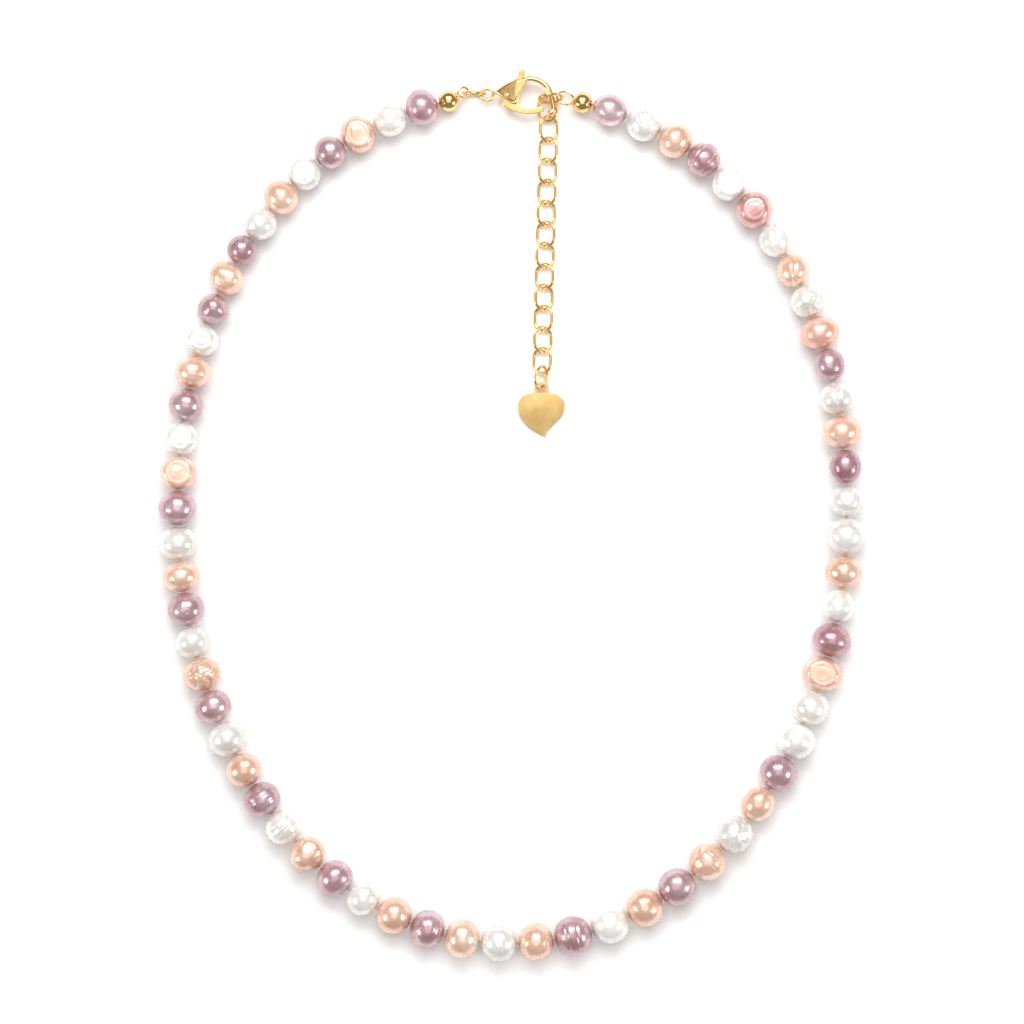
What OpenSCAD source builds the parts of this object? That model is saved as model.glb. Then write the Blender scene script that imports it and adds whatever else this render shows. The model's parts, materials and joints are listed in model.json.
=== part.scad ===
// Freshwater pearl necklace laid out flat in an oval, clasp closed at the back.
// X runs left to right, Y runs from the front pearls to the clasp, Z stands up
// from the table. Every pearl rests over the table on one level cord.

/* [Strand] */
// half width of the oval, measured on the cord
oval_half_width = 60.3; // [55:0.1:66]
// reach of the oval from its centre to the front pearl
oval_front = 77.7; // [72:0.1:84]
// reach of the oval from its centre to the clasp
oval_back = 75; // [70:0.1:80]
// squareness of the back half: 2 is an ellipse, more is squarer
back_squareness = 2.15; // [2:0.05:2.5]
// how far the oval sits towards the clasp from the middle of the object
oval_shift = 0.95; // [0:0.05:2]
// height of the cord over the table
cord_height = 3.65; // [3.6:0.05:4]
// length of cord from the back centre to the first pearl on the left
left_start = 13.45; // [13:0.05:14.5]
// length of cord from the back centre to the last pearl on the right
right_start = 14.75; // [14.5:0.05:16]

/* [Pearls] */
// scale on every pearl's width
pearl_fullness = 1; // [0.85:0.01:1]
// diameter of the drilled hole
drill_d = 0.8; // [0.7:0.05:1]
// how round the outline is: below 1 is fuller, above 1 is leaner
pearl_roundness = 0.94; // [0.85:0.01:1.1]
// diameter of the stringing silk
thread_d = 0.44; // [0.3:0.02:0.5]
// diameter of the small knot in each gap
knot_d = 0.62; // [0.55:0.01:0.7]
// free silk left between two sections at each bend
bend_gap = 0.14; // [0.12:0.01:0.2]

/* [Bead tips] */
// diameter of the gold ball at each end of the strand
tip_d = 3.8; // [3.4:0.05:4]
// wall of the hollow ball
tip_wall = 0.4; // [0.3:0.05:0.6]
// height of the ball centres over the table
tip_height = 2.9; // [2.6:0.05:3.2]
// wire of the loops on the balls
loop_wire = 0.4; // [0.35:0.05:0.5]

/* [Clasp] */
// height of the clasp's middle plane over the table
clasp_height = 2.75; // [2.65:0.05:2.85]
// diameter of the hook bar
hook_bar = 1; // [0.9:0.05:1.1]
// thickness of the body at its thick end
body_thick = 3; // [2.6:0.1:3.4]
// thickness of the lever plate
lever_thick = 0.9; // [0.8:0.05:1]
// play between the lever and the sides of its slot
lever_play = 0.12; // [0.1:0.01:0.15]
// diameter of the rivet the lever turns on
rivet_d = 0.7; // [0.6:0.05:0.8]
// wire of the two jump rings
ring_wire = 0.55; // [0.5:0.05:0.6]

/* [Extender] */
// wire of the oval links
link_wire = 0.54; // [0.5:0.01:0.6]
// length of a link over its wire
link_length = 5; // [4.9:0.05:5.1]
// width of a link over its wire
link_width = 3.95; // [3.8:0.05:4]
// distance from one link to the next
link_pitch = 3.8; // [3.78:0.01:3.84]
// how far each link leans over, to one side and then the other
link_lean = 28; // [20:1:30]

/* [Tag] */
// width of the heart
heart_width = 8.5; // [8:0.1:9]
// thickness of the heart plate
heart_thick = 0.5; // [0.4:0.05:0.7]

/* [Hidden] */
$fn = 48;
eps = 0.01;

white_nacre = [0.95, 0.94, 0.91];
peach_nacre = [0.93, 0.76, 0.66];
mauve_nacre = [0.74, 0.62, 0.70];
silk = [0.93, 0.91, 0.87];
gold = [0.90, 0.72, 0.38];

// ---- pearls, counted from the left bead tip round the front to the right one
// colour of each pearl: m mauve, w white, p peach
colours = str("mwpmwpwmpmwpmwpm", "wpmwpmwpmwpmwpmp",
              "wpmwpmpwpmwwpmwp", "wwmpwmpwpwmwmpwm");
// length of each pearl along the cord
pearl_lengths = [
    5.9, 6.2, 6.1, 5.7, 5.9, 5.9, 5.9, 5.3, 6.0, 5.9, 5.7, 5.8, 6.0, 6.0, 6.1, 6.3,
    6.1, 5.6, 6.1, 5.7, 6.0, 6.0, 6.3, 6.1, 6.1, 6.2, 6.5, 6.3, 6.0, 6.4, 6.3, 6.4,
    6.6, 6.5, 6.8, 6.9, 6.7, 6.9, 6.8, 6.9, 6.6, 6.5, 6.4, 6.4, 6.2, 6.1, 6.1, 6.0,
    6.6, 5.8, 6.2, 6.0, 6.0, 6.0, 5.9, 5.9, 6.0, 6.4, 6.6, 6.3, 6.0, 6.0, 6.5, 6.4];
// width of each pearl across the cord
pearl_widths = [
    6.7, 6.6, 6.9, 6.1, 6.3, 6.6, 6.3, 5.4, 7.0, 6.1, 6.6, 6.7, 6.5, 6.4, 6.8, 7.0,
    7.1, 6.9, 6.9, 6.4, 7.1, 6.8, 7.0, 6.7, 6.9, 6.8, 7.1, 6.8, 6.5, 7.0, 7.2, 7.2,
    6.8, 6.9, 7.3, 7.1, 7.0, 6.9, 6.9, 6.9, 5.9, 7.0, 7.2, 6.9, 7.3, 7.3, 6.2, 6.8,
    7.3, 6.7, 5.8, 7.2, 6.9, 5.5, 7.3, 6.6, 6.3, 6.3, 6.8, 6.7, 6.4, 6.8, 6.8, 5.8];
pearl_count = len(pearl_lengths);
pearls_per_side = 4;
last_section = 8;

function total(list, n) = n == 0 ? 0 : list[n - 1] + total(list, n - 1);

// section 1 is the pair of runs beside the clasp, section 8 the front run
function section_of(i) =
    min(last_section, 1 + floor(min(i, pearl_count - 1 - i) / pearls_per_side));

// ---- the oval that the cord follows, turning left from the clasp
function signed_power(v, p) = sign(v) * pow(abs(v), p);
function oval_at(turn) =
    let (p = cos(turn) > 0 ? 2 / back_squareness : 1)
    let (reach = cos(turn) > 0 ? oval_back : oval_front)
    [-oval_half_width * signed_power(sin(turn), p),
     oval_shift + reach * signed_power(cos(turn), p)];

oval_steps = 720;
oval_points = [for (k = [0:oval_steps]) oval_at(360 * k / oval_steps)];
oval_lengths = [
    for (k = 0, s = 0; k <= oval_steps;
         k = k + 1, s = s + (k <= oval_steps ? norm(oval_points[k] - oval_points[k - 1]) : 0))
    s];
oval_total = oval_lengths[oval_steps];
turn_table = [for (k = [0:oval_steps]) [oval_lengths[k], 360 * k / oval_steps]];

// point on the cord at a length s from the back centre
function cord_point(s) =
    let (p = oval_at(lookup(s, turn_table)))
    [p[0], p[1], cord_height];

pearl_gap = (oval_total - left_start - right_start - total(pearl_lengths, pearl_count))
            / (pearl_count - 1);
function pearl_begin(i) = left_start + total(pearl_lengths, i) + i * pearl_gap;
function pearl_end(i) = pearl_begin(i) + pearl_lengths[i];
// middle of the gap before pearl i, so gap_point(64) is past the last pearl
function gap_point(i) = cord_point(pearl_begin(i) - pearl_gap / 2);

// ---- placing
// lays a child that stands on +Z from point a towards point b
module aim(a, b) {
    d = b - a;
    translate(a)
        rotate([0, acos(d[2] / norm(d)), atan2(d[1], d[0])])
            children();
}

module rod(a, b, d) {
    aim(a, b) cylinder(h = norm(b - a), d = d);
}

// a ball turned so that its first meridian faces square to a direction
module ball(p, d, along) {
    translate(p)
        rotate([0, 0, atan2(along[1], along[0]) + 90])
            sphere(d = d);
}

function bezier(p, t) =
    pow(1 - t, 3) * p[0] + 3 * pow(1 - t, 2) * t * p[1]
    + 3 * (1 - t) * pow(t, 2) * p[2] + pow(t, 3) * p[3];
// one smooth stretch of an outline, without its last point
function curve(p) = [for (k = [0:9]) bezier(p, k / 10)];

function on_circle(centre, r, a) = centre + r * [cos(a), sin(a)];
function arc(centre, r, from, to, steps) =
    [for (k = [0:steps]) on_circle(centre, r, from + (to - from) * k / steps)];

// a wire ring in the XY plane, d over the wire
module wire_ring(d, wire) {
    rotate_extrude()
        translate([(d - wire) / 2, 0])
            circle(d = wire);
}

// a wire oval in the XY plane, long along Y
module wire_oval(length, width, wire) {
    bend = (width - wire) / 2;
    half_straight = (length - width) / 2;
    for (side = [0, 1])
        rotate([0, 0, 180 * side])
            translate([0, half_straight, 0])
                rotate_extrude(angle = 180)
                    translate([bend, 0])
                        circle(d = wire);
    for (side = [-1, 1])
        translate([side * bend, 0, 0])
            rotate([90, 0, 0])
                cylinder(h = 2 * half_straight + eps, d = wire, center = true);
}

// ---- pearls and silk
// half outline of one pearl from hole edge to hole edge: [off the axis, along it]
outline_steps = 9;
function pearl_outline(length, width) =
    let (last = acos(pow(drill_d / width, 1 / pearl_roundness)))
    [for (k = [-outline_steps:outline_steps])
        let (turn = last * k / outline_steps)
        [width / 2 * pow(cos(turn), pearl_roundness), length / 2 * sin(turn)]];

module pearl(i) {
    a = cord_point(pearl_begin(i));
    b = cord_point(pearl_end(i));
    aim((a + b) / 2, b)
        rotate_extrude()
            polygon(pearl_outline(norm(b - a), pearl_widths[i] * pearl_fullness));
}

module pearls(section, colour) {
    for (i = [0:pearl_count - 1])
        if (section_of(i) == section && colours[i] == colour)
            pearl(i);
}

function step_to(a, b, distance) = a + (b - a) / norm(b - a) * distance;

// silk through pearls first..last: straight inside each pearl, a small knot in
// each gap, and free ends at the bends
module silk_run(first, last) {
    for (i = [first:last]) {
        at_start = i == first && first > 0;
        at_end = i == last && last < pearl_count - 1;
        rod(step_to(gap_point(i), gap_point(i + 1), at_start ? bend_gap / 2 : knot_d / 6),
            step_to(gap_point(i + 1), gap_point(i), at_end ? bend_gap / 2 : knot_d / 6),
            thread_d);
        if (i < last)
            ball(gap_point(i + 1), knot_d, gap_point(i + 2) - gap_point(i));
    }
}

// silk of one section: its left run and its right run, or the front run
module silk_of(section) {
    first = pearls_per_side * (section - 1);
    last = first + pearls_per_side - 1;
    if (section == last_section) {
        silk_run(first, pearl_count - 1 - first);
    } else {
        silk_run(first, last);
        silk_run(pearl_count - 1 - last, pearl_count - 1 - first);
    }
}

// ---- bead tips: a hollow ball over the knot, with a wire loop
left_tip = at_height(cord_point(left_start - tip_d / 2 - 0.08), tip_height);
right_tip = at_height(cord_point(oval_total - right_start + tip_d / 2 + 0.08), tip_height);
left_entry = gap_point(0);
right_entry = gap_point(pearl_count);
left_loop_d = 2.3;
right_loop_d = 3.45;
left_loop = [-8.84, 75.65 + oval_shift, 2.6];
right_loop = [9.6, 74.57 + oval_shift, 2.25];

function at_height(p, z) = [p[0], p[1], z];

module tip_ball(centre, entry) {
    difference() {
        ball(centre, tip_d, entry - centre);
        ball(centre, tip_d - 2 * tip_wall, entry - centre);
        rod(centre, centre + (entry - centre) * 1.6, drill_d + 0.1);
    }
}

// silk from the big knot inside the ball to the first gap
module silk_end(centre, entry) {
    ball(centre, 1.5, entry - centre);
    rod(step_to(centre, entry, 0.5), step_to(entry, centre, knot_d / 6), thread_d);
    ball(entry, knot_d, entry - centre);
}

// short stalk that joins the left loop to its ball, kept out of the hollow
module stalk(loop_rim, centre) {
    rod(loop_rim, step_to(centre, loop_rim, tip_d / 2 - 0.15), loop_wire);
}

// ---- clasp, drawn about its own plane
module in_clasp_plane() {
    translate([0, oval_shift, clasp_height])
        children();
}

eye = [-4.46, 75.2];
eye_r = 1.05;
eye_wire = 0.62;
hook_centre = [3.2, 74.1];
hook_r = 3.98;
hook_from = 116;
hook_to = 12;
hook_straight = 2;
curl_r = 0.9;
curl_turn = 80;
pivot = [-0.9, 75.05];

// centre line of the hook: a wide bend, a short straight run, then a curl inwards
hook_end = on_circle(hook_centre, hook_r, hook_to);
hook_along = [sin(hook_to), -cos(hook_to)];
curl_start = hook_end + hook_straight * hook_along;
curl_centre = curl_start - curl_r * [cos(hook_to), sin(hook_to)];
hook_path = concat(
    arc(hook_centre, hook_r, hook_from, hook_to, 16),
    arc(curl_centre, curl_r, hook_to, hook_to - curl_turn, 6));
// the bar swells a little towards its nose
function hook_radius(t) = hook_bar / 2 * (1 + 0.16 * pow(t, 6));

// round bar along a flat path, with domed ends
around = 20;
function bar_ring(p, along, r, middle = 0) =
    [for (k = [0:around - 1])
        let (a = 360 * k / around)
        [p[0] + along[0] * middle - along[1] * r * cos(a),
         p[1] + along[1] * middle + along[0] * r * cos(a), r * sin(a)]];
function heading(path, k) =
    let (d = path[min(len(path) - 1, k + 1)] - path[max(0, k - 1)])
    d / norm(d);

module hook() {
    n = len(hook_path);
    last = n - 1;
    r_end = hook_radius(1);
    rings = concat(
        [for (k = [0:last]) bar_ring(hook_path[k], heading(hook_path, k), hook_radius(k / last))],
        [for (a = [25, 50, 75])
            bar_ring(hook_path[last], heading(hook_path, last), r_end * cos(a), r_end * sin(a))]);
    count = len(rings);
    points = concat([for (ring = rings) for (p = ring) p],
                    [[hook_path[0][0], hook_path[0][1], 0]]);
    sides = [for (r = [0:count - 2]) for (k = [0:around - 1]) for (half = [0, 1])
        let (a = r * around + k, b = r * around + (k + 1) % around)
        half == 0 ? [a, a + around, b] : [b, a + around, b + around]];
    start_cap = [for (k = [0:around - 1]) [count * around, k, (k + 1) % around]];
    end_cap = [[for (k = [around - 1:-1:0]) (count - 1) * around + k]];
    polyhedron(points, concat(sides, start_cap, end_cap));
}

// ---- the body between eye and hook: a cushion with a drop-shaped outline
cushion_middle = [0.6, 75.9];
cushion_tilts = [for (a = [-75:15:75]) a];
cushion_outline = concat(
    curve([[-3.3, 75.55], [-2.3, 76.6], [0.2, 78.3], [2.6, 78.45]]),
    curve([[2.6, 78.45], [3.6, 77.9], [1.9, 76.9], [1.5, 75.2]]),
    curve([[1.5, 75.2], [1.4, 74.2], [1.25, 73.35], [0.4, 73.35]]),
    curve([[0.4, 73.35], [-0.5, 73.35], [-2.6, 74.9], [-3.3, 75.55]]));

// half thickness at x: thin by the eye, full by the hook
function cushion_half(x) = body_thick / 2 * min(1, max(0.42, 0.42 + 0.58 * (x + 3.3) / 4.6));
function cushion_point(p, tilt) =
    let (q = cushion_middle + (p - cushion_middle) * (0.55 + 0.45 * pow(cos(tilt), 0.6)))
    [q[0], q[1], cushion_half(q[0]) * sin(tilt)];

module cushion() {
    n = len(cushion_outline);
    rings = len(cushion_tilts);
    top = cushion_half(cushion_middle[0]);
    points = concat(
        [for (tilt = cushion_tilts) for (p = cushion_outline) cushion_point(p, tilt)],
        [[cushion_middle[0], cushion_middle[1], -top], [cushion_middle[0], cushion_middle[1], top]]);
    sides = [for (r = [0:rings - 2]) for (k = [0:n - 1]) for (half = [0, 1])
        let (a = r * n + k, b = r * n + (k + 1) % n)
        half == 0 ? [a, b, a + n] : [b, b + n, a + n]];
    ends = [for (k = [0:n - 1]) for (end = [0, 1])
        let (a = end * (rings - 1) * n + k, b = end * (rings - 1) * n + (k + 1) % n)
        end == 0 ? [rings * n, b, a] : [rings * n + 1, a, b]];
    polyhedron(points, concat(sides, ends));
}

// centre line of the gate: an arc that bulges away from the hook
gate_centre = [3, 79.4];
gate_r = 7.2;
gate_from = -127;
gate_to = -68.5;
gate_width = 1.05;
web_from = -102;

// gate, web, stem and thumb tab in one outline
lever_points = concat(
    arc(gate_centre, gate_r + gate_width / 2, gate_from, gate_to, 16),
    arc(gate_centre, gate_r - gate_width / 2, gate_to, web_from, 10),
    [pivot + [1.1, -0.4], pivot + [1.05, 0.35], [2.15, 78.2], [2.3, 79.3], [2.15, 79.7],
     [1.85, 79.85], [1.55, 79.75], [1.32, 79.4], [1.2, 78.6]],
    arc(pivot, 0.95, 125, 215, 6));

// room the lever sweeps inside the body while the gate opens inwards
room_points = concat(
    arc(pivot, 1.15, 140, 200, 5),
    [pivot + [-1.2, -3], pivot + [4.8, -3], pivot + [2.2, -0.6], pivot + [3.3, 3.2],
     pivot + [3.5, 5.2], pivot + [1, 5.2], pivot + [0.9, 3.2]]);

// ---- extender chain
chain_top = [6.62, 69.1];
chain_drift = -0.107;
function link_at(n) =
    [chain_top[0] + chain_drift * (n - 1), chain_top[1] - link_pitch * (n - 1) + oval_shift,
     link_rest];
link_rest = (link_width - link_wire) / 2 * sin(link_lean) + link_wire / 2;
function lean_of(n) = link_lean * (n % 2 == 1 ? 1 : -1);

module link() {
    wire_oval(link_length, link_width, link_wire);
}

module chain_link(n) {
    translate(link_at(n))
        rotate([0, lean_of(n), 0])
            link();
}

// ---- heart tag
tag_tilt = 6.5;
// the tag and its ring follow the end of the chain
tag_shift = oval_shift + 0.22;
tag_tip = [6.1, 13.5];
hole_at = [5.36, 22.05];
hole_d = 1.5;

notch = [5.3, 21.35];
module heart_outline() {
    half = heart_width / 2;
    left = [5.3 - half, 18.9];
    right = [5.3 + half, 18.9];
    polygon(concat(
        curve([notch, notch + [-1.1, 0.35], left + [0, 2.3], left]),
        curve([left, left + [0, -2.2], tag_tip + [-2.6, 0.7], tag_tip]),
        curve([tag_tip, tag_tip + [0.1, 1.9], right + [-0.3, -2.3], right]),
        curve([right, right + [0, 2.3], notch + [1.1, 0.35], notch])));
}

module bail_outline() {
    difference() {
        union() {
            heart_outline();
            translate(hole_at)
                circle(d = hole_d + 1.1);
        }
        translate(hole_at)
            circle(d = hole_d);
    }
}

// ---- sub-parts
module white_pearls_1() {
    color(white_nacre) pearls(1, "w");
}

module white_pearls_2() {
    color(white_nacre) pearls(2, "w");
}

module white_pearls_3() {
    color(white_nacre) pearls(3, "w");
}

module white_pearls_4() {
    color(white_nacre) pearls(4, "w");
}

module white_pearls_5() {
    color(white_nacre) pearls(5, "w");
}

module white_pearls_6() {
    color(white_nacre) pearls(6, "w");
}

module white_pearls_7() {
    color(white_nacre) pearls(7, "w");
}

module white_pearls_8() {
    color(white_nacre) pearls(8, "w");
}

module peach_pearls_1() {
    color(peach_nacre) pearls(1, "p");
}

module peach_pearls_2() {
    color(peach_nacre) pearls(2, "p");
}

module peach_pearls_3() {
    color(peach_nacre) pearls(3, "p");
}

module peach_pearls_4() {
    color(peach_nacre) pearls(4, "p");
}

module peach_pearls_5() {
    color(peach_nacre) pearls(5, "p");
}

module peach_pearls_6() {
    color(peach_nacre) pearls(6, "p");
}

module peach_pearls_7() {
    color(peach_nacre) pearls(7, "p");
}

module peach_pearls_8() {
    color(peach_nacre) pearls(8, "p");
}

module mauve_pearls_1() {
    color(mauve_nacre) pearls(1, "m");
}

module mauve_pearls_2() {
    color(mauve_nacre) pearls(2, "m");
}

module mauve_pearls_3() {
    color(mauve_nacre) pearls(3, "m");
}

module mauve_pearls_4() {
    color(mauve_nacre) pearls(4, "m");
}

module mauve_pearls_5() {
    color(mauve_nacre) pearls(5, "m");
}

module mauve_pearls_6() {
    color(mauve_nacre) pearls(6, "m");
}

module mauve_pearls_7() {
    color(mauve_nacre) pearls(7, "m");
}

module mauve_pearls_8() {
    color(mauve_nacre) pearls(8, "m");
}

module silk_1() {
    color(silk) {
        silk_of(1);
        silk_end(left_tip, left_entry);
        silk_end(right_tip, right_entry);
    }
}

module silk_2() {
    color(silk) silk_of(2);
}

module silk_3() {
    color(silk) silk_of(3);
}

module silk_4() {
    color(silk) silk_of(4);
}

module silk_5() {
    color(silk) silk_of(5);
}

module silk_6() {
    color(silk) silk_of(6);
}

module silk_7() {
    color(silk) silk_of(7);
}

module silk_8() {
    color(silk) silk_of(8);
}

module left_bead_tip() {
    color(gold) {
        tip_ball(left_tip, left_entry);
        translate(left_loop)
            rotate([0, 0, 32])
                rotate([-25, 0, 0])
                    wire_ring(left_loop_d, loop_wire);
        stalk(step_to(left_loop, left_tip, (left_loop_d - loop_wire) / 2), left_tip);
    }
}

module right_bead_tip() {
    color(gold) {
        tip_ball(right_tip, right_entry);
        translate(right_loop)
            rotate([0, 0, -21])
                rotate([-40, 0, 0])
                    wire_ring(right_loop_d, loop_wire);
    }
}

module left_jump_ring() {
    color(gold)
        translate([-6.82, 75.42 + oval_shift, 2.6])
            rotate([90, 0, -3])
                wire_ring(4.55, ring_wire);
}

module right_jump_ring() {
    color(gold)
        translate([6.93, 74.52 + oval_shift, 2.6])
            rotate([-20.5, 0, 0])
                rotate([0, 0, 7.5])
                    rotate([0, 19, 0])
                        rotate([90, 0, 0])
                            rotate([0, 0, 90])
                                wire_oval(4.75, 4.1, ring_wire);
}

module clasp_body() {
    color(gold)
        in_clasp_plane()
            difference() {
                union() {
                    translate(eye)
                        wire_ring(2 * eye_r + eye_wire, eye_wire);
                    cushion();
                    hook();
                }
                translate([0, 0, -lever_thick / 2 - lever_play])
                    linear_extrude(lever_thick + 2 * lever_play)
                        polygon(room_points);
                translate(pivot)
                    cylinder(h = 2 * body_thick, d = rivet_d + 0.04, center = true);
            }
}

module clasp_lever() {
    color(gold)
        in_clasp_plane()
            translate([0, 0, -lever_thick / 2])
                linear_extrude(lever_thick)
                    difference() {
                        polygon(lever_points);
                        translate(pivot)
                            circle(d = rivet_d + 0.12);
                    }
}

module clasp_rivet() {
    color(gold)
        in_clasp_plane()
            translate(pivot)
                cylinder(h = body_thick * 0.74, d = rivet_d, center = true);
}

module link_01() {
    color(gold)
        translate([6.34, 72.74 + oval_shift, 1.18])
            rotate([0, 0, 3.4])
                rotate([1.8, 0, 0])
                    rotate([0, -22, 0])
                        link();
}

module link_02() {
    color(gold) chain_link(1);
}

module link_03() {
    color(gold) chain_link(2);
}

module link_04() {
    color(gold) chain_link(3);
}

module link_05() {
    color(gold) chain_link(4);
}

module link_06() {
    color(gold) chain_link(5);
}

module link_07() {
    color(gold) chain_link(6);
}

module link_08() {
    color(gold) chain_link(7);
}

module link_09() {
    color(gold) chain_link(8);
}

module link_10() {
    color(gold) chain_link(9);
}

module link_11() {
    color(gold) chain_link(10);
}

module link_12() {
    color(gold) chain_link(11);
}

module link_13() {
    color(gold) chain_link(12);
}

module tag_ring() {
    color(gold)
        translate([5.24, 24.07 + tag_shift, 2.1])
            rotate([0, 0, -18.4])
                rotate([-12.6, 0, 0])
                    rotate([0, 60, 0])
                        wire_ring(4.5, ring_wire);
}

module heart_tag() {
    color(gold)
        translate([0, tag_tip[1] + tag_shift, 0.12])
            rotate([tag_tilt, 0, 0])
                translate([0, -tag_tip[1], 0])
                    linear_extrude(heart_thick)
                        bail_outline();
}

white_pearls_1();
white_pearls_2();
white_pearls_3();
white_pearls_4();
white_pearls_5();
white_pearls_6();
white_pearls_7();
white_pearls_8();
peach_pearls_1();
peach_pearls_2();
peach_pearls_3();
peach_pearls_4();
peach_pearls_5();
peach_pearls_6();
peach_pearls_7();
peach_pearls_8();
mauve_pearls_1();
mauve_pearls_2();
mauve_pearls_3();
mauve_pearls_4();
mauve_pearls_5();
mauve_pearls_6();
mauve_pearls_7();
mauve_pearls_8();
silk_1();
silk_2();
silk_3();
silk_4();
silk_5();
silk_6();
silk_7();
silk_8();
left_bead_tip();
right_bead_tip();
left_jump_ring();
right_jump_ring();
clasp_body();
clasp_lever();
clasp_rivet();
link_01();
link_02();
link_03();
link_04();
link_05();
link_06();
link_07();
link_08();
link_09();
link_10();
link_11();
link_12();
link_13();
tag_ring();
heart_tag();
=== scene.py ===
"""Looks of the freshwater pearl necklace: nacre pearls, twisted silk and polished gold."""

import json
import math

import bmesh
import bpy
import numpy as np
from mathutils import Matrix, Vector

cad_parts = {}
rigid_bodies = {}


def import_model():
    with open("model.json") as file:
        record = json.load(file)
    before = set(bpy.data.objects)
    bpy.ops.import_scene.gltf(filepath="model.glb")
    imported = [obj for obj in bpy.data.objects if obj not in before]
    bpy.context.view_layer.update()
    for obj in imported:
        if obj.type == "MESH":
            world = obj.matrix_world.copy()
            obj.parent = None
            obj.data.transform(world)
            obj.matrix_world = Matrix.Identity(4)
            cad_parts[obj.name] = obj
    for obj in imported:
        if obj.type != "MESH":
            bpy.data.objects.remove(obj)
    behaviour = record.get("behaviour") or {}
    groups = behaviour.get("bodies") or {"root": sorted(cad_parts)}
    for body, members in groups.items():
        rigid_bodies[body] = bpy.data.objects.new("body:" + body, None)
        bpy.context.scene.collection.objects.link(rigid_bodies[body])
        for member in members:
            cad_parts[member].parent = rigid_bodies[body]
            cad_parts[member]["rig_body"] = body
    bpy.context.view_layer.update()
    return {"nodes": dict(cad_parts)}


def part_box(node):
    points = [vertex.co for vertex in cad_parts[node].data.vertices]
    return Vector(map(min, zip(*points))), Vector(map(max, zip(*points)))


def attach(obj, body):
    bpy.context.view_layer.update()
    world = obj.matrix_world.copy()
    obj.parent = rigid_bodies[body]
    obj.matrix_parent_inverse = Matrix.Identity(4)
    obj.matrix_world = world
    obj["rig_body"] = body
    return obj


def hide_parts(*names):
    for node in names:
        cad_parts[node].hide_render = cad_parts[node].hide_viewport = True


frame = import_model()
nodes = frame["nodes"]
MM = 0.001

# ---------------------------------------------------------------- driving sizes
STRAND_HEIGHT = 3.65 * MM
STRAND_MIDDLE_Y = 0.95 * MM
DRILL_RADIUS = 0.4 * MM
PEARL_ROWS = 61
PEARL_SIDES = 72
PEARL_FULLNESS = 0.94  # power of the outline: 1 is an ellipsoid, less is fuller
PEARL_SEED = 100
SHADE_SEED = 500
SILK_RADIUS = 0.22 * MM
SILK_KNOT_RADIUS = 0.31 * MM
SILK_HALF_TURN = 0.42 * MM
SILK_STEP = 0.12 * MM
SILK_REACH = 0.47  # of a pearl's spacing, past the last pearl of a section
SILK_END_REACH = 0.53  # the same at the two ends of the strand
TIP_RADIUS = 1.9 * MM
TIP_WALL = 0.4 * MM
TIP_HOLE_RADIUS = 0.45 * MM
TIP_LAP = 0.2 * MM  # how far the stalk is sunk in the ball
LOOP_WIRE = 0.4 * MM
CLOSED_SLIM = 0.985  # of the CAD wire in a closed loop, so that its solder joint can stand proud
CLASP_HEIGHT = 2.75 * MM
CLASP_VOXEL = 0.055 * MM
CLASP_RIM_RADIUS = 0.3 * MM
CLASP_RIM_OFFSET = 1.12  # mm above and below the clasp's middle plane
RIVET_DOME = 0.12 * MM
LEVER_THICK = 0.9 * MM
LEVER_BEVEL = 0.16 * MM
HEART_THICK = 0.5 * MM
HEART_BEVEL = 0.1 * MM
HEART_TILT = 6.5
PLATE_SHARP = 35  # degrees between faces that stay a crisp edge
WELD = 1e-6
AXIS_GAP = 1e-6  # smallest radius in a turned profile
FLOOR_REACH = 30
VIEW_WIDTH = 184.3 * MM
LENS = 200
SENSOR = 36

# Surface of each pearl, from the left bead tip round the front to the right one:
# r smooth, b button with a flat face, n slight button, d dimple, s ringed scar,
# g grooves round the drill line, w wrinkled, v slightly wrinkled, l lumpy,
# c creased, e egg.
PEARL_FORMS = (
    "rrbrbrrr" "llnrrsbr" "rrdrwrrr" "gglrrrwr"
    "rwgrrrww" "rrrrbeev" "rlrrcrrw" "ccnbgrvr"
)
# height at which a pearl with a flat face is cut off, of its half width
FACE_HEIGHT = {"b": 0.70, "n": 0.80, "s": 0.74}
# pearls whose nacre leans to another shade, by place: (red, green, blue) factors
PEARL_SHADES = {
    1: (1.04, 0.99, 1.02),
    8: (0.88, 0.82, 0.84),
    14: (1.0, 1.01, 1.03),
    32: (1.0, 1.12, 1.18),
    42: (0.94, 0.9, 0.94),
    46: (1.0, 0.86, 0.9),
    51: (0.86, 0.76, 0.8),
    54: (0.94, 0.92, 0.94),
    55: (0.96, 0.84, 0.86),
    59: (1.18, 0.98, 0.86),
    61: (0.98, 0.9, 0.9),
    64: (1.28, 1.4, 1.34),
}


# ---------------------------------------------------------------- small helpers
def add_object(name, data):
    made = bpy.data.objects.new(name, data)
    bpy.context.scene.collection.objects.link(made)
    return made


def shade_smooth(mesh):
    mesh.polygons.foreach_set("use_smooth", [True] * len(mesh.polygons))


def new_piece(name, vertices, faces, material, body, stands_for):
    """A mesh piece in the row frame that rides on a body and stands for a CAD node."""
    mesh = bpy.data.meshes.new(name)
    mesh.from_pydata([tuple(v) for v in vertices], [], [tuple(f) for f in faces])
    mesh.validate()
    mesh.materials.append(material)
    piece = add_object(name, mesh)
    shade_smooth(mesh)
    return settle(piece, body, stands_for)


def settle(piece, body, stands_for):
    """Puts a finished piece on its body in place of its CAD node."""
    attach(piece, body)
    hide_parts(stands_for)
    return piece


def body_of(node):
    return nodes[node]["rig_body"]


def merged(parts):
    """Several (vertices, faces) pairs as one."""
    vertices, faces, start = [], [], 0
    for part_vertices, part_faces in parts:
        vertices.append(np.asarray(part_vertices, float))
        faces += [[i + start for i in face] for face in part_faces]
        start += len(part_vertices)
    return np.vstack(vertices), faces


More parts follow.
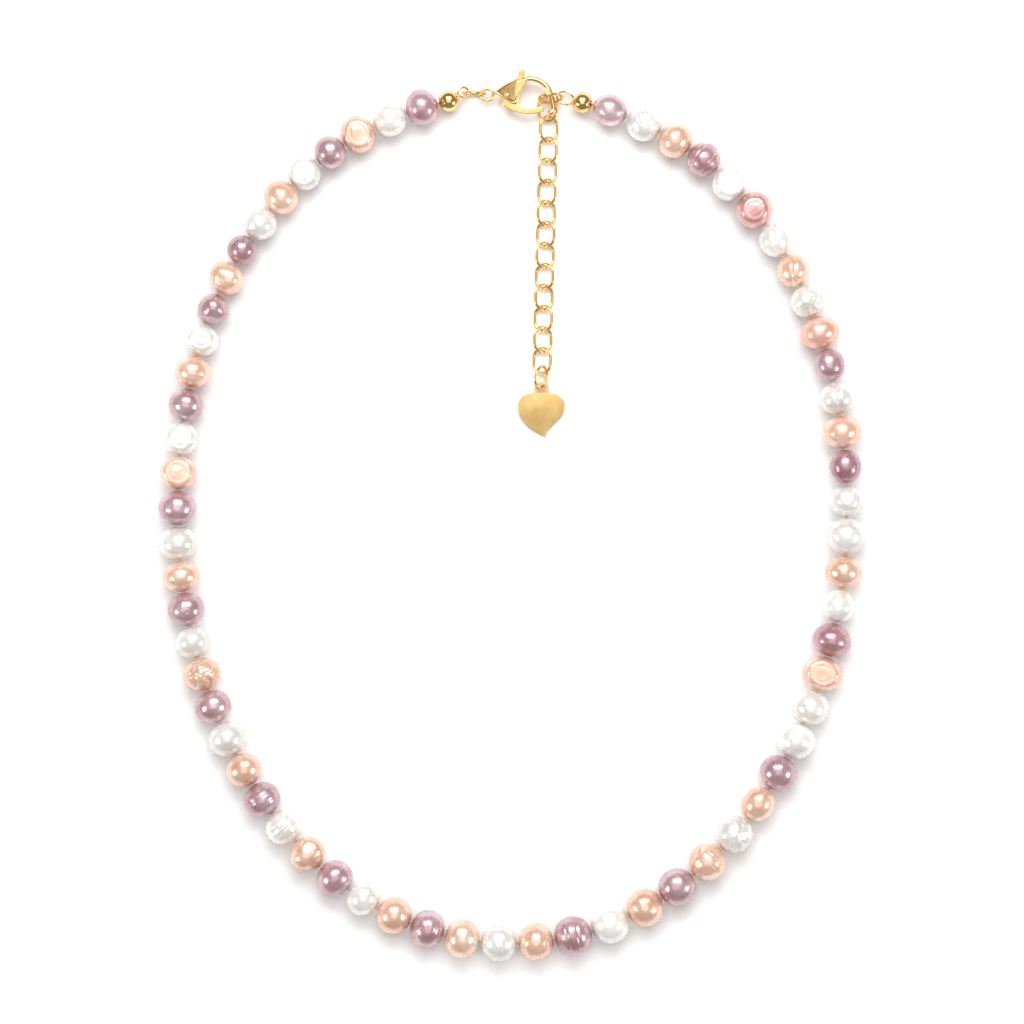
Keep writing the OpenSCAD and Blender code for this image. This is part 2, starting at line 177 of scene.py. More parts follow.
def welded(node):
    """The CAD node's mesh as a bmesh, with its doubled corners joined."""
    mesh = bmesh.new()
    mesh.from_mesh(nodes[node].data)
    bmesh.ops.remove_doubles(mesh, verts=mesh.verts, dist=WELD)
    return mesh


def islands(node):
    """The separate solids of a CAD node, each as an array of its corner points."""
    mesh = welded(node)
    mesh.verts.ensure_lookup_table()
    mesh.verts.index_update()
    seen, found = set(), []
    for first in mesh.verts:
        if first.index in seen:
            continue
        seen.add(first.index)
        group, todo = [], [first]
        while todo:
            vertex = todo.pop()
            group.append(tuple(vertex.co))
            for edge in vertex.link_edges:
                other = edge.other_vert(vertex)
                if other.index not in seen:
                    seen.add(other.index)
                    todo.append(other)
        found.append(np.array(group))
    mesh.free()
    return found


def grid_faces(rows, columns, closed_rows=False):
    """Quads of a grid that is closed round its columns, and round its rows if asked."""
    faces = []
    for r in range(rows if closed_rows else rows - 1):
        for c in range(columns):
            a, b = r * columns + c, r * columns + (c + 1) % columns
            below = ((r + 1) % rows) * columns
            faces.append((a, b, below + (c + 1) % columns, below + c))
    return faces


def lathe(profile, centre, axis, sides):
    """A turned shape: profile is [(radius, height along axis)], from one end to the other."""
    axis = np.array(axis, float) / np.linalg.norm(axis)
    across = np.cross(axis, (0, 0, 1) if abs(axis[2]) < 0.9 else (1, 0, 0))
    across /= np.linalg.norm(across)
    other = np.cross(axis, across)
    rows = []
    for radius, height in profile:
        for k in range(sides):
            a = 2 * math.pi * k / sides
            rows.append(
                np.array(centre)
                + axis * height
                + radius * (across * math.cos(a) + other * math.sin(a))
            )
    return np.array(rows), grid_faces(len(profile), sides)


def tube(points, radii, closed, sides=24):
    """A round bar along points, with a radius at each of them and domed ends if it is open."""
    points = np.asarray(points, float)
    count = len(points)
    if closed:
        along = np.roll(points, -1, 0) - np.roll(points, 1, 0)
    else:
        along = np.gradient(points, axis=0)
    along /= np.linalg.norm(along, axis=1)[:, None]
    side = np.cross(along[0], (0.3, 0.2, 0.9))
    rows = []
    for p, d, r in zip(points, along, radii):
        side = side - d * (side @ d)
        side /= np.linalg.norm(side)
        other = np.cross(d, side)
        for k in range(sides):
            a = 2 * math.pi * k / sides
            rows.append(p + r * (side * math.cos(a) + other * math.sin(a)))
    faces = grid_faces(count, sides, closed)
    if not closed:
        rows += [points[0] - along[0] * radii[0] * 0.5, points[-1] + along[-1] * radii[-1] * 0.5]
        for k in range(sides):
            faces.append((count * sides, (k + 1) % sides, k))
            last = (count - 1) * sides
            faces.append((count * sides + 1, last + k, last + (k + 1) % sides))
    return np.array(rows), faces


# ---------------------------------------------------------------- materials
def node_material(name):
    material = bpy.data.materials.new(name)
    material.use_nodes = True
    tree = material.node_tree
    shader = tree.nodes["Principled BSDF"]
    place = tree.nodes.new("ShaderNodeTexCoord")
    return material, tree, shader, place


def texture(tree, place, kind, scale, **settings):
    """A texture read in the object's own coordinates, with a scale in cells per metre."""
    node = tree.nodes.new(kind)
    node.inputs["Scale"].default_value = scale
    for key, value in settings.items():
        node.inputs[key.replace("_", " ")].default_value = value
    tree.links.new(place.outputs["Object"], node.inputs["Vector"])
    return node


def ramp(tree, source, stops):
    """A colour ramp over a texture's output: stops are [(place, colour)]."""
    node = tree.nodes.new("ShaderNodeValToRGB")
    elements = node.color_ramp.elements
    while len(elements) < len(stops):
        elements.new(0.5)
    for element, (where, colour) in zip(elements, stops):
        element.position = where
        element.color = (*colour, 1)
    tree.links.new(source, node.inputs["Fac"])
    return node


def value_range(tree, source, low, high):
    node = tree.nodes.new("ShaderNodeMapRange")
    node.inputs["To Min"].default_value = low
    node.inputs["To Max"].default_value = high
    tree.links.new(source, node.inputs["Value"])
    return node


def bump(tree, shader, source, strength, distance):
    node = tree.nodes.new("ShaderNodeBump")
    node.inputs["Strength"].default_value = strength
    node.inputs["Distance"].default_value = distance
    tree.links.new(source, node.inputs["Height"])
    tree.links.new(node.outputs["Normal"], shader.inputs["Normal"])


def nacre(name, deep, middle, light, metallic):
    """Satin freshwater nacre: cloudy colour, uneven lustre and a faintly uneven skin."""
    material, tree, shader, place = node_material(name)
    clouds = texture(tree, place, "ShaderNodeTexNoise", 330, Detail=3, Roughness=0.5)
    colour = ramp(tree, clouds.outputs["Fac"], [(0.30, deep), (0.5, middle), (0.72, light)])
    shade = tree.nodes.new("ShaderNodeAttribute")
    shade.attribute_name = "nacre_shade"
    tinted = tree.nodes.new("ShaderNodeMix")
    tinted.data_type = "RGBA"
    tinted.blend_type = "MULTIPLY"
    tinted.inputs["Factor"].default_value = 1
    tree.links.new(colour.outputs["Color"], tinted.inputs["A"])
    tree.links.new(shade.outputs["Color"], tinted.inputs["B"])
    tree.links.new(tinted.outputs["Result"], shader.inputs["Base Color"])
    lustre = texture(tree, place, "ShaderNodeTexNoise", 700, Detail=4, Roughness=0.6)
    rough = value_range(tree, lustre.outputs["Fac"], 0.2, 0.36)
    tree.links.new(rough.outputs["Result"], shader.inputs["Roughness"])
    skin = texture(tree, place, "ShaderNodeTexNoise", 1100, Detail=2, Roughness=0.5)
    bump(tree, shader, skin.outputs["Fac"], 0.02, 0.00003)
    shader.inputs["Metallic"].default_value = metallic
    shader.inputs["IOR"].default_value = 1.6
    shader.inputs["Coat Weight"].default_value = 0.45
    shader.inputs["Coat Roughness"].default_value = 0.1
    return material


def gold(name, rough_low, rough_high, scratches):
    """Yellow gold plate: slightly uneven colour, hairline polish marks."""
    material, tree, shader, place = node_material(name)
    tone = texture(tree, place, "ShaderNodeTexNoise", 420, Detail=3, Roughness=0.5)
    colour = ramp(
        tree,
        tone.outputs["Fac"],
        [(0.3, (0.86, 0.54, 0.19)), (0.55, (0.93, 0.64, 0.27)), (0.75, (0.98, 0.73, 0.37))],
    )
    tree.links.new(colour.outputs["Color"], shader.inputs["Base Color"])
    wear = texture(tree, place, "ShaderNodeTexNoise", 1500, Detail=5, Roughness=0.65)
    rough = value_range(tree, wear.outputs["Fac"], rough_low, rough_high)
    tree.links.new(rough.outputs["Result"], shader.inputs["Roughness"])
    stretch = tree.nodes.new("ShaderNodeMapping")
    stretch.inputs["Scale"].default_value = (1, 0.06, 1)
    stretch.inputs["Rotation"].default_value = (0, 0, 0.5)
    marks = tree.nodes.new("ShaderNodeTexNoise")
    marks.inputs["Scale"].default_value = 9000
    marks.inputs["Detail"].default_value = 3
    tree.links.new(place.outputs["Object"], stretch.inputs["Vector"])
    tree.links.new(stretch.outputs["Vector"], marks.inputs["Vector"])
    bump(tree, shader, marks.outputs["Fac"], scratches, 0.00001)
    shader.inputs["Metallic"].default_value = 1
    return material


def silk(name):
    """Cream twisted silk with fine filaments."""
    material, tree, shader, place = node_material(name)
    strands = texture(tree, place, "ShaderNodeTexNoise", 5000, Detail=4, Roughness=0.6)
    colour = ramp(
        tree, strands.outputs["Fac"], [(0.3, (0.66, 0.58, 0.48)), (0.7, (0.88, 0.83, 0.75))]
    )
    tree.links.new(colour.outputs["Color"], shader.inputs["Base Color"])
    bump(tree, shader, strands.outputs["Fac"], 0.5, 0.00003)
    shader.inputs["Roughness"].default_value = 0.62
    shader.inputs["Sheen Weight"].default_value = 0.3
    return material


NACRES = {
    "white": nacre("white_nacre", (0.74, 0.72, 0.67), (0.85, 0.83, 0.79), (0.93, 0.92, 0.89), 0.35),
    "peach": nacre("peach_nacre", (0.82, 0.46, 0.32), (0.89, 0.59, 0.45), (0.95, 0.72, 0.60), 0.5),
    "mauve": nacre("mauve_nacre", (0.48, 0.28, 0.31), (0.58, 0.39, 0.42), (0.70, 0.53, 0.56), 0.6),
}
POLISHED = gold("polished_gold", 0.10, 0.20, 0.10)
WIRE = gold("wire_gold", 0.14, 0.26, 0.16)
SATIN = gold("satin_gold", 0.26, 0.36, 0.20)
SILK = silk("twisted_silk")


# ---------------------------------------------------------------- pearls
def bell(distance, width):
    """1 at no distance, falling smoothly to nothing over a few widths."""
    return np.exp(-((distance / width) ** 2))


def rise(value, low, high):
    """A smooth step from 0 at low to 1 at high."""
    t = np.clip((value - low) / (high - low), 0, 1)
    return t * t * (3 - 2 * t)


def waves(p, rng, scale, terms=7):
    """A smooth random field between about -1 and 1, made of crossing waves."""
    total = np.zeros(len(p))
    for _ in range(terms):
        direction = rng.normal(size=3)
        direction /= np.linalg.norm(direction)
        total += np.sin(scale * rng.uniform(0.7, 1.3) * (p @ direction) + rng.uniform(0, 6.3))
    return total / math.sqrt(terms / 2)


def worn(p, form, rng):
    """How far each point of a unit pearl is pressed in, and how far its top is flattened.

    p holds unit points: x along the drill line, y across it, z up."""
    pressed = 0.012 * (1 + np.clip(waves(p, rng, 2.6), -1, 1))
    pressed += 0.0025 * (1 + np.sin(22 * p[:, 0] + 3 * waves(p, rng, 2.0)))
    lowered = np.zeros(len(p))
    top = rise(p[:, 2], 0.0, 0.5)
    if form in "bns":
        height = FACE_HEIGHT[form]
        face = 0.035 * np.logaddexp(0, (p[:, 2] - height) / 0.035)
        from_middle = np.hypot(p[:, 0], p[:, 1])
        lowered = face * 0.9
        rim = math.sqrt(1 - height**2) * 0.92
        pressed += top * 0.018 * bell(from_middle - rim * 0.72, 0.07)
        pressed += top * 0.012 * waves(p, rng, 7) * bell(from_middle, rim)
        if form == "s":
            around = rise(waves(p, rng, 1.5) - p[:, 0], -0.2, 0.9)
            rings = bell(from_middle - 0.5, 0.05) + 0.6 * bell(from_middle - 0.3, 0.06)
            pressed += top * 0.055 * rings * around
    if form in "wv":
        strength = 0.05 if form == "w" else 0.022
        shift = waves(p, rng, 3)
        folds = np.abs(waves(p + 0.05 * shift[:, None], rng, 9))
        patch = 0.35 + 0.65 * rise(waves(p, rng, 1.8) + p[:, 2], 0.2, 1.1)
        pressed += strength * bell(folds, 0.3) * patch
        pressed += 0.4 * strength * (1 + np.clip(waves(p, rng, 13), -1, 1)) * patch
    if form == "g":
        bent = p[:, 0] + 0.05 * waves(p, rng, 2.2)
        for place in sorted(rng.uniform(-0.5, 0.5, 4)):
            pressed += rng.uniform(0.02, 0.05) * bell(bent - place, rng.uniform(0.035, 0.06))
    if form == "l":
        pressed += 0.045 * (1 + np.clip(waves(p, rng, 3.4), -1, 1))
        middle = np.array([rng.uniform(-0.4, 0.4), rng.uniform(-0.4, 0.4), 0.85])
        pressed += 0.05 * bell(np.linalg.norm(p - middle, axis=1), 0.3)
    if form == "c":
        turn = rng.uniform(0.9, 1.5)
        across = p[:, 0] * math.cos(turn) + p[:, 1] * math.sin(turn)
        bent = across + 0.16 * waves(p, rng, 1.7)
        pressed += top * 0.085 * bell(bent - 0.1, 0.085)
        pressed += 0.02 * (1 + np.clip(waves(p, rng, 3), -1, 1))
    if form == "d":
        middle = np.array([0.15, 0.1, 0.97])
        away = np.linalg.norm(p - middle, axis=1)
        pressed += 0.035 * bell(away, 0.12) + 0.014 * bell(away - 0.26, 0.05)
    if form == "e":
        round_part = 1 - p[:, 0] ** 2
        pressed += 0.09 * rise(p[:, 0], -0.4, 1.0) * round_part
    return pressed, lowered


def pearl(centre, along, length, width, form, seed):
    """One drilled pearl as (vertices, faces), pressed in from its smooth outline."""
    rng = np.random.default_rng(seed)
    rows, sides = PEARL_ROWS, PEARL_SIDES
    last = math.acos((2 * DRILL_RADIUS / width) ** (1 / PEARL_FULLNESS))
    turns = np.linspace(-last, last, rows)
    spin = np.arange(sides) * 2 * math.pi / sides
    radial = np.cos(turns) ** PEARL_FULLNESS
    unit = np.stack(
        [
            np.repeat(np.sin(turns), sides),
            (radial[:, None] * np.cos(spin)).ravel(),
            (radial[:, None] * np.sin(spin)).ravel(),
        ],
        1,
    )
    pressed, lowered = worn(unit, form, rng)
    keep = 1 - pressed * np.minimum(1, np.repeat(radial, sides) * 2.5)
    shape = unit * keep[:, None]
    shape[:, 2] -= lowered
    at_hole = np.repeat((np.arange(rows) == 0) | (np.arange(rows) == rows - 1), sides)
    shape[at_hole, 1:] = unit[at_hole, 1:]
    shape *= (length / 2, width / 2, width / 2)
    tunnel = []
    for k in (rows - 1, 0):
        ring = shape[k * sides : (k + 1) * sides].copy()
        ring[:, 0] *= 0.86
        ring[:, 1:] *= 0.92
        tunnel.append(ring)
    shape = np.vstack([shape, *tunnel])
    along = along / np.linalg.norm(along)
    across = np.cross((0, 0, 1), along)
    placed = centre + shape @ np.array([along, across, (0, 0, 1)])
    return placed, grid_faces(rows + 2, sides, closed_rows=True)


def strand_angle(points):
    """Angle of points round the strand, from the left bead tip over the front to the right."""
    return np.arctan2(-points[..., 0], points[..., 1]) % (2 * math.pi)


def find_pearls():
    """Angle, node, middle and corner points of every CAD pearl, in order round the strand."""
    pearls = []
    for node in nodes:
        if "_pearls_" in node:
            for points in islands(node):
                middle = (points.min(0) + points.max(0)) / 2
                pearls.append((strand_angle(middle), node, middle, points))
    return sorted(pearls, key=lambda item: item[0])


def build_pearls():
    """One piece per CAD pearl node, with the shade of each of its pearls as an attribute."""
    of_node = {}
    for i, (_, node, middle, points) in enumerate(found):
        along = centres[min(i + 1, len(found) - 1)] - centres[max(i - 1, 0)]
        along /= np.linalg.norm(along)
        length = np.ptp(points @ along)
        width = np.ptp(points[:, 2])
        made = pearl(middle, along, length, width, PEARL_FORMS[i], PEARL_SEED + i)
        tone = np.random.default_rng(SHADE_SEED + i).uniform(0.93, 1.05)
        shade = np.array(PEARL_SHADES.get(i + 1, (1, 1, 1))) * tone
        of_node.setdefault(node, []).append((made, shade))

    for node, members in of_node.items():
        vertices, faces = merged([made for made, _ in members])
        material = NACRES[node.split("_")[0]]
        piece = new_piece(node + "_nacre", vertices, faces, material, body_of(node), node)
        shades = piece.data.attributes.new("nacre_shade", "FLOAT_COLOR", "POINT")
        colours = [np.tile((*shade, 1.0), (len(made[0]), 1)) for made, shade in members]
        shades.data.foreach_set("color", np.vstack(colours).ravel())


found = find_pearls()
centres = [item[2] for item in found]
build_pearls()


# ---------------------------------------------------------------- silk
def silk_strand(centreline, knots):
    """Two-ply twisted thread along a line of points, swollen to a knot where knots says."""
    points = np.asarray(centreline, float)
    steps = np.linalg.norm(np.diff(points, axis=0), axis=1)
    run = np.concatenate([[0], np.cumsum(steps)])
    fine = np.linspace(0, run[-1], max(8, int(run[-1] / SILK_STEP)))
    line = np.stack([np.interp(fine, run, points[:, k]) for k in range(3)], 1)
    along = np.gradient(line, axis=0)
    along /= np.linalg.norm(along, axis=1)[:, None]
    side = np.cross(along, (0, 0, 1))
    up = np.cross(side, along)
    swell = np.zeros(len(fine))
    for place in knots:
        swell = np.maximum(swell, bell(fine - place, 0.17 * MM))
    plies = []
    for start in (0, math.pi):
        turn = start + fine / SILK_HALF_TURN * math.pi
        off = SILK_RADIUS * 0.46 * (1 + 0.5 * swell)
        sideways = side * np.cos(turn)[:, None] + up * np.sin(turn)[:, None]
        centre = line + off[:, None] * sideways
        radii = SILK_RADIUS * 0.53 + (SILK_KNOT_RADIUS - SILK_RADIUS) * 0.9 * swell
        plies.append(tube(centre, radii, closed=False, sides=10))
    return merged(plies)


def thread_line(inside):
    """Points of the silk through the pearls numbered inside, run out into the gaps at its ends."""
    stops = [centres[k] for k in inside]
    before = centres[inside[0]] - centres[max(inside[0] - 1, 0)]
    after = centres[min(inside[-1] + 1, len(found) - 1)] - centres[inside[-1]]
    first = stops[0] - before * SILK_REACH
    last = stops[-1] + after * SILK_REACH
    if inside[0] == 0:
        first = stops[0] - (stops[1] - stops[0]) * SILK_END_REACH
    if inside[-1] == len(found) - 1:
        last = stops[-1] + (stops[-1] - stops[-2]) * SILK_END_REACH
    return np.array([first, *stops, last])


def thread(node):
    """The silk of one section, one run for each of its solids, knotted between the pearls."""
    margin = 0.002
    runs = []
    for points in islands(node):
        middle_line = points[np.abs(points[:, 2] - STRAND_HEIGHT) < SILK_RADIUS * 1.05]
        angles = strand_angle(middle_line)
        low, high = angles.min() - margin, angles.max() + margin
        inside = [k for k, item in enumerate(found) if low < item[0] < high]
        if not inside:
            continue
        line = thread_line(inside)
        run = np.concatenate([[0], np.cumsum(np.linalg.norm(np.diff(line, axis=0), axis=1))])
        knots = [(run[k] + run[k + 1]) / 2 for k in range(1, len(inside))]
        runs.append(silk_strand(line, knots))
    if runs:
        new_piece(node + "_thread", *merged(runs), SILK, body_of(node), node)


for node in [n for n in nodes if n.startswith("silk_")]:
    thread(node)


# ---------------------------------------------------------------- rings and links
def flat_loop(node):
    """Centre, normal, long direction, length, width and wire of a ring or link node."""
    points = islands(node)[0]
    centre = (points.min(0) + points.max(0)) / 2
    values, vectors = np.linalg.eigh(np.cov((points - centre).T))
    normal, long_way = vectors[:, 0], vectors[:, 2]
    if values[2] / values[1] < 1.03:
        long_way = np.cross(normal, (1.0, 0.2, 0.1))
        long_way /= np.linalg.norm(long_way)
    if long_way[1] < 0:
        long_way = -long_way
    if normal[2] < 0:
        normal = -normal
    across = np.cross(normal, long_way)
    offsets = points - centre
    length, width, wire = (np.ptp(offsets @ way) for way in (long_way, across, normal))
    return centre, normal, long_way, length, width, wire


def wire_loop(centre, normal, long_way, length, width, wire, seam_at, seam, sides=28):
    """A bent wire: seam below 0 is an open cut, above 0 a soldered joint that stands proud."""
    across = np.cross(normal, long_way)
    bend, half = (width - wire) / 2, (length - width) / 2
    steps = 200
    turn = np.arange(steps) * 2 * math.pi / steps
    x = bend * np.cos(turn)
    y = bend * np.sin(turn) + half * np.clip(np.sin(turn) * 6, -1, 1)
    points = centre + x[:, None] * across + y[:, None] * long_way
    away = np.linalg.norm(points - points[int(seam_at * steps) % steps], axis=1)
    if seam < 0:
        radii = wire / 2 * (1 + seam * bell(away, 0.05 * MM))
    else:
        radii = wire / 2 * (CLOSED_SLIM + seam * bell(away, 0.3 * MM))
    return tube(points, radii, closed=True, sides=sides)


def bent_wire(node, seam_at, seam):
    vertices, faces = wire_loop(*flat_loop(node), seam_at, seam)
    new_piece(node + "_wire", vertices, faces, WIRE, body_of(node), node)


for node, cut_at in (("left_jump_ring", 0.62), ("right_jump_ring", 0.1), ("tag_ring", 0.85)):
    bent_wire(node, cut_at, -0.3)
for node in sorted(n for n in nodes if n.startswith("link_")):
    bent_wire(node, 0.02 if int(node[-2:]) % 2 else 0.52, 0.015)


# ---------------------------------------------------------------- bead tips
def tip_ball(centre, towards_silk):
    """A hollow ball with a turned-in lip round the hole that the silk enters."""
    start = math.asin(TIP_HOLE_RADIUS / TIP_RADIUS)
    profile = []
    inner = TIP_RADIUS - TIP_WALL
    for a in np.linspace(math.pi, start, 40):
        profile.append((max(inner * math.sin(a), AXIS_GAP), inner * math.cos(a)))
    lip = start + 0.05
    profile.append((TIP_HOLE_RADIUS * 0.98, (TIP_RADIUS - 0.2 * MM) * math.cos(start)))
    profile.append((TIP_HOLE_RADIUS, TIP_RADIUS * math.cos(start) - 0.05 * MM))
    for a in np.linspace(lip, math.pi, 72):
        outer = TIP_RADIUS * (1 - 0.006 * math.exp(-(((a - 0.42) / 0.05) ** 2)))
        profile.append((max(outer * math.sin(a), AXIS_GAP), outer * math.cos(a)))
    return lathe(profile, centre, towards_silk, 72)


def turned(vector, *turns):
    """A vector after turns, each (axis letter, degrees), the last one first."""
    v = Vector(vector)
    for axis, degrees in reversed(turns):
        v = Matrix.Rotation(math.radians(degrees), 3, axis) @ v
    return np.array(v)


# ball and loop middles and loop size in mm, and the turns that lay the loop
TIPS = {
    "left_bead_tip": dict(
        ball=(-11.411, 74.969, 2.9),
        loop=(-8.84, 76.6, 2.6),
        size=2.3,
        turns=(("Z", 32), ("X", -25)),
    ),
    "right_bead_tip": dict(
        ball=(12.686, 74.716, 2.9),
        loop=(9.6, 75.52, 2.25),
        size=3.45,
        turns=(("Z", -21), ("X", -40)),
    ),
}
for node, tip in TIPS.items():
    ball = np.array(tip["ball"]) * MM
    loop = np.array(tip["loop"]) * MM
    pearl_side = centres[0] if node.startswith("left") else centres[-1]
    towards = pearl_side - ball
    normal = turned((0, 0, 1), *tip["turns"])
    long_way = turned((0, 1, 0), *tip["turns"])
    size = tip["size"] * MM
    ring = wire_loop(loop, normal, long_way, size, size, LOOP_WIRE, 0.3, 0.0, sides=20)
    to_ball = (ball - loop) / np.linalg.norm(ball - loop)
    rim = loop + to_ball * (size - LOOP_WIRE) / 2
    root = ball - to_ball * (TIP_RADIUS - TIP_LAP)
    parts = [tip_ball(ball, towards), ring]
    if (root - rim) @ to_ball > 0.05 * MM:
        neck = np.linspace(rim, root, 12)
        flare = LOOP_WIRE / 2 * (1 + 0.8 * np.linspace(0, 1, 12) ** 4)
        parts.append(tube(neck, flare, closed=False, sides=20))
    vertices, faces = merged(parts)
    new_piece(node + "_gold", vertices, faces, POLISHED, body_of(node), node)


# ---------------------------------------------------------------- clasp
def evaluated_mesh(made):
    """The mesh that an object shows, with its modifiers or curve settings baked in."""
    graph = bpy.context.evaluated_depsgraph_get()
    return bpy.data.meshes.new_from_object(made.evaluated_get(graph))


def bezier(corners, steps):
    """Points along a cubic curve with four corner points."""
    a, b, c, d = (np.array(corner, float) for corner in corners)
    return [
        (1 - t) ** 3 * a + 3 * (1 - t) ** 2 * t * b + 3 * (1 - t) * t**2 * c + t**3 * d
        for t in np.linspace(0, 1, steps)
    ]


def cast_body(node):
    """The clasp body as one casting: the CAD shape and its raised rims, melted together."""
    edge = bezier([(2.75, 78.95), (1.75, 78.3), (1.15, 77.2), (1.02, 76.1)], 14)
    edge += bezier([(1.02, 76.1), (0.95, 75.4), (0.9, 74.9), (0.45, 74.65)], 12)[1:]
    shape = welded(node)
    for up in (-CLASP_RIM_OFFSET, CLASP_RIM_OFFSET):
        line = [np.array((x, y, CLASP_HEIGHT / MM + up)) * MM for x, y in edge]
        radii = np.full(len(line), CLASP_RIM_RADIUS)
        vertices, faces = tube(line, radii, closed=False, sides=16)
        made = [shape.verts.new(v) for v in vertices]
        for face in faces:
            shape.faces.new([made[i] for i in face])
    mesh = bpy.data.meshes.new(node + "_gold")
    shape.to_mesh(mesh)
    shape.free()
    piece = add_object(node + "_gold", mesh)
    melt = piece.modifiers.new("melt", "REMESH")
    melt.mode = "VOXEL"
    melt.voxel_size = CLASP_VOXEL
    soften = piece.modifiers.new("soften", "SMOOTH")
    soften.factor = 0.5
    soften.iterations = 9
    mesh = evaluated_mesh(piece)
    piece.modifiers.clear()
    piece.data = mesh
    shade_smooth(mesh)
    mesh.materials.clear()
    mesh.materials.append(POLISHED)
    return settle(piece, body_of(node), node)


def plate_outlines(node, up):
    """Outline loops of the face of a flat plate that looks towards up, in order round it."""
    mesh = welded(node)
    facing = {f for f in mesh.faces if f.normal.dot(Vector(up)) > 0.98}
    left = {}
    for face in facing:
        for corner in face.loops:
            if sum(f in facing for f in corner.edge.link_faces) == 1:
                left[corner.vert.index] = corner.link_loop_next.vert
    places = {v.index: np.array(v.co) for v in mesh.verts}
    loops = []
    while left:
        start = min(left)
        here, loop = start, []
        while here in left:
            loop.append(places[here])
            here = left.pop(here).index
        loops.append(np.array(loop))
    mesh.free()
    return sorted(loops, key=len, reverse=True)


def bevelled_plate(node, normal, thick, bevel, material):
    """A plate cut to the CAD node's outline, with rounded edges all round."""
    normal = np.array(normal, float)
    across = np.cross((0, 1, 0), normal)
    across /= np.linalg.norm(across)
    upward = np.cross(normal, across)
    loops = plate_outlines(node, normal)
    level = np.mean(loops[0] @ normal) - thick / 2
    curve = bpy.data.curves.new(node + "_outline", "CURVE")
    curve.dimensions = "2D"
    curve.fill_mode = "BOTH"
    curve.extrude = thick / 2 - bevel
    curve.bevel_depth = bevel
    curve.bevel_resolution = 4
    curve.offset = -bevel
    for loop in loops:
        spline = curve.splines.new("POLY")
        spline.use_cyclic_u = True
        spline.points.add(len(loop) - 1)
        for point, place in zip(spline.points, loop):
            point.co = (place @ across, place @ upward, 0, 1)
    drawn = add_object(node + "_gold", curve)
    mesh = evaluated_mesh(drawn)
    bpy.data.objects.remove(drawn)
    flat = np.zeros(len(mesh.vertices) * 3)
    mesh.vertices.foreach_get("co", flat)
    flat = flat.reshape(-1, 3)
    placed = np.outer(flat[:, 0], across) + np.outer(flat[:, 1], upward)
    placed += np.outer(flat[:, 2] + level, normal)
    mesh.vertices.foreach_set("co", placed.ravel())
    mesh.materials.clear()
    mesh.materials.append(material)
    piece = add_object(node + "_gold", mesh)
    shape = bmesh.new()
    shape.from_mesh(mesh)
    bmesh.ops.remove_doubles(shape, verts=shape.verts, dist=2 * WELD)
    bmesh.ops.recalc_face_normals(shape, faces=shape.faces)
    shape.to_mesh(mesh)
    shape.free()
    shade_smooth(mesh)
    mesh.set_sharp_from_angle(angle=math.radians(PLATE_SHARP))
    mesh.update()
    return settle(piece, body_of(node), node)


def rivet(node):
    """The pin through the clasp, with a low domed head on each side."""
    low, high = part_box(node)
    centre = np.array((low + high) / 2)
    radius, half = (high.x - low.x) / 2, (high.z - low.z) / 2
    dome = [
        (radius * math.sin(a * math.pi / 2), half - RIVET_DOME * (1 - math.cos(a * math.pi / 2)))
        for a in np.linspace(1, 0.2, 6)
    ]
    shank = half - RIVET_DOME
    profile = [(AXIS_GAP, -half)]
    profile += [(r, -z) for r, z in reversed(dome)]
    profile += [(radius, z) for z in np.linspace(-shank, shank, 6)[1:]]
    profile += dome[1:]
    profile.append((AXIS_GAP, half))
    vertices, faces = lathe(profile, centre, (0, 0, 1), 32)
    return new_piece(node + "_gold", vertices, faces, POLISHED, body_of(node), node)


cast_body("clasp_body")
bevelled_plate("clasp_lever", (0, 0, 1), LEVER_THICK, LEVER_BEVEL, POLISHED)
rivet("clasp_rivet")
tilt = math.radians(HEART_TILT)
heart_up = (0, -math.sin(tilt), math.cos(tilt))
bevelled_plate("heart_tag", heart_up, HEART_THICK, HEART_BEVEL, SATIN)


# ---------------------------------------------------------------- room, light, camera
def paper_floor():
    material, tree, shader, place = node_material("white_paper")
    grain = texture(tree, place, "ShaderNodeTexNoise", 900, Detail=4)
    greys = [(0.3, (0.88, 0.88, 0.88)), (0.7, (0.91, 0.91, 0.91))]
    colour = ramp(tree, grain.outputs["Fac"], greys)
    tree.links.new(colour.outputs["Color"], shader.inputs["Base Color"])
    shader.inputs["Roughness"].default_value = 0.9
    shader.inputs["Specular IOR Level"].default_value = 0.1
    mesh = bpy.data.meshes.new("floor")
    signs = ((-1, -1), (1, -1), (1, 1), (-1, 1))
    mesh.from_pydata([(x * FLOOR_REACH, y * FLOOR_REACH, 0) for x, y in signs], [], [(0, 1, 2, 3)])
    mesh.materials.append(material)
    floor = add_object("floor", mesh)


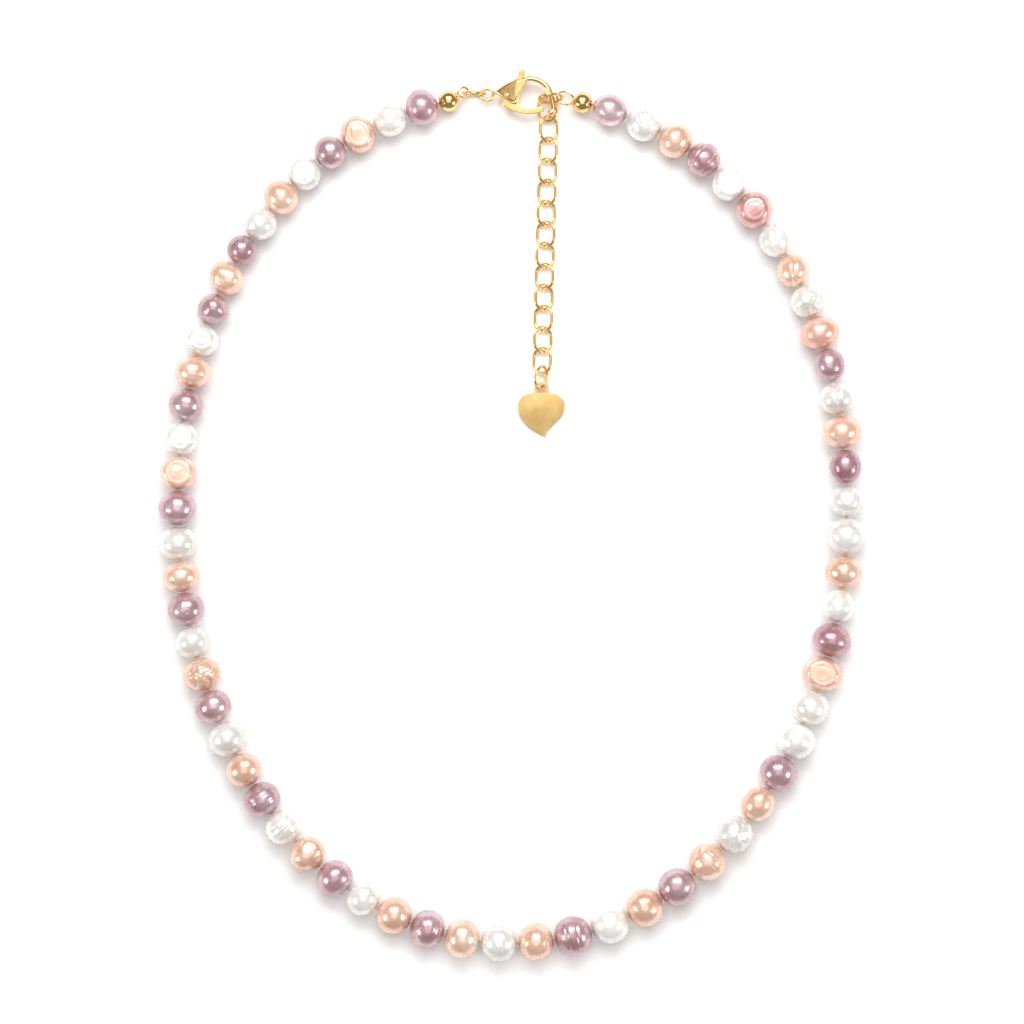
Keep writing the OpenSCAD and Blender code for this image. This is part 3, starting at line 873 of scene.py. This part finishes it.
def softbox(name, lean, bearing, distance, width, height, power):
    """An area light at lean degrees from straight up, towards bearing (0 is +Y, 90 is +X)."""
    data = bpy.data.lights.new(name, "AREA")
    data.shape = "RECTANGLE"
    data.size = width
    data.size_y = height
    data.energy = power
    lamp = add_object(name, data)
    a, b = math.radians(lean), math.radians(bearing)
    away = Vector((math.sin(a) * math.sin(b), math.sin(a) * math.cos(b), math.cos(a)))
    lamp.location = away * distance
    lamp.rotation_mode = "QUATERNION"
    lamp.rotation_quaternion = away.to_track_quat("Z", "Y")
    lamp.visible_camera = False


def sky_light():
    """A wide soft sun that leans a little towards the front, and leaves no highlight."""
    data = bpy.data.lights.new("sky_light", "SUN")
    data.energy = 1.15
    data.angle = math.radians(50)
    lamp = add_object("sky_light", data)
    lamp.rotation_euler = (math.radians(-24), 0, 0)
    lamp.visible_glossy = False


def studio_world():
    """Dim warm fill light on the piece, behind a white backdrop that only the camera sees."""
    world = bpy.data.worlds.new("studio")
    bpy.context.scene.world = world
    world.use_nodes = True
    tree = world.node_tree
    fill = tree.nodes["Background"]
    fill.inputs["Color"].default_value = (1, 0.95, 0.92, 1)
    fill.inputs["Strength"].default_value = 0.28
    backdrop = tree.nodes.new("ShaderNodeBackground")
    backdrop.inputs["Color"].default_value = (1, 1, 1, 1)
    backdrop.inputs["Strength"].default_value = 1.0
    path = tree.nodes.new("ShaderNodeLightPath")
    mix = tree.nodes.new("ShaderNodeMixShader")
    tree.links.new(path.outputs["Is Camera Ray"], mix.inputs["Fac"])
    tree.links.new(fill.outputs["Background"], mix.inputs[1])
    tree.links.new(backdrop.outputs["Background"], mix.inputs[2])
    tree.links.new(mix.outputs["Shader"], tree.nodes["World Output"].inputs["Surface"])


def top_camera():
    """A long lens straight above the middle of the strand, VIEW_WIDTH across at its height."""
    data = bpy.data.cameras.new("camera")
    data.lens = LENS
    data.sensor_width = SENSOR
    data.clip_end = 100
    camera = add_object("camera", data)
    camera.location = (0, STRAND_MIDDLE_Y, STRAND_HEIGHT + VIEW_WIDTH * LENS / SENSOR)
    bpy.context.scene.camera = camera


paper_floor()
softbox("panel_overhead", 2, 0, 1.3, 1.0, 0.9, 2.9)
softbox("softbox_back", 36, 0, 0.6, 0.5, 0.28, 2.3)
softbox("softbox_left", 62, 252, 0.6, 0.2, 0.2, 0.9)
softbox("softbox_right", 62, 108, 0.6, 0.2, 0.2, 0.9)

sky_light()
studio_world()
bpy.context.scene.view_settings.view_transform = "Standard"
bpy.context.scene.view_settings.look = "None"
top_camera()
